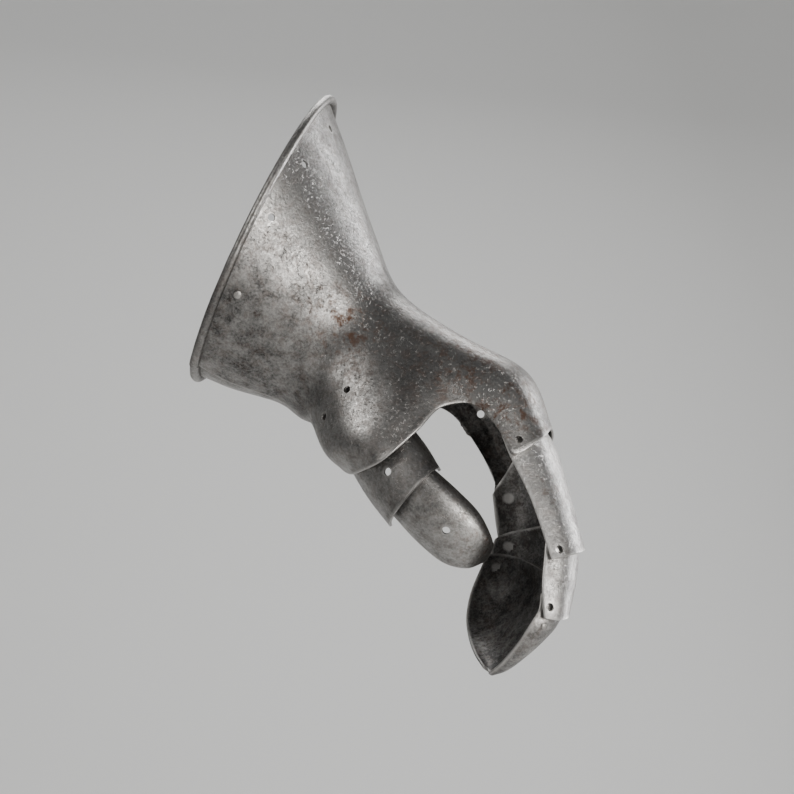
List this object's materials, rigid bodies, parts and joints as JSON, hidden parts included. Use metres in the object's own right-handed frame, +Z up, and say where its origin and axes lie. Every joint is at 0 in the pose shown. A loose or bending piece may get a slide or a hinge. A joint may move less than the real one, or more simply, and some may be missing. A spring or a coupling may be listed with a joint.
{
  "type": "armoured gauntlet",
  "caption": "Sheet-steel mitten gauntlet for a left hand: flared cuff with a rolled rim, hand plate with a thumb cover, and nested plates over the fingers and the thumb.",
  "frame": {"origin": "middle of the cuff's mouth, where the forearm goes in", "axes": "+Z up; the forearm and hand run down towards +X, the fingers hang towards -Z, and the thumb side faces -Y"},
  "size_m": [0.193, 0.1405, 0.2991],
  "materials": {
    "dark_steel": "old sheet steel with a mottled dark patina, fine pitting and brown rust specks, worn bright on the edges",
    "bright_steel": "the same sheet steel rubbed brighter, with pits and brown streaks",
    "rivet_steel": "dull rivet heads, filed nearly flush"
  },
  "bodies": {
    "hand": {"hand_plate": "dark_steel", "cuff_rivet": "rivet_steel", "seam_rivet": "rivet_steel", "thumb_lame": "dark_steel", "thumb_tip_plate": "dark_steel"},
    "finger_plate_1": {"finger_lame_1": "bright_steel"},
    "finger_plate_2": {"finger_lame_2": "bright_steel"},
    "finger_plate_3": {"finger_tip_plate": "dark_steel", "tip_rivet": "rivet_steel"}
  },
  "joints": [
    {"name": "knuckle_hinge", "type": "hinge", "parent": "hand", "child": "finger_plate_1", "pos_m": [0.12715, -0.0002, -0.125], "axis": [0.0434, 0.9986, -0.0303], "range_deg": [-25, 10]},
    {"name": "middle_hinge", "type": "hinge", "parent": "finger_plate_1", "child": "finger_plate_2", "pos_m": [0.1357, -0.00045, -0.16405], "axis": [-0.1705, 0.9513, 0.2568], "range_deg": [-20, 20]},
    {"name": "last_hinge", "type": "hinge", "parent": "finger_plate_2", "child": "finger_plate_3", "pos_m": [0.12995, -0.00015, -0.183], "axis": [-0.1989, 0.8797, 0.4319], "range_deg": [-15, 20]}
  ]
}
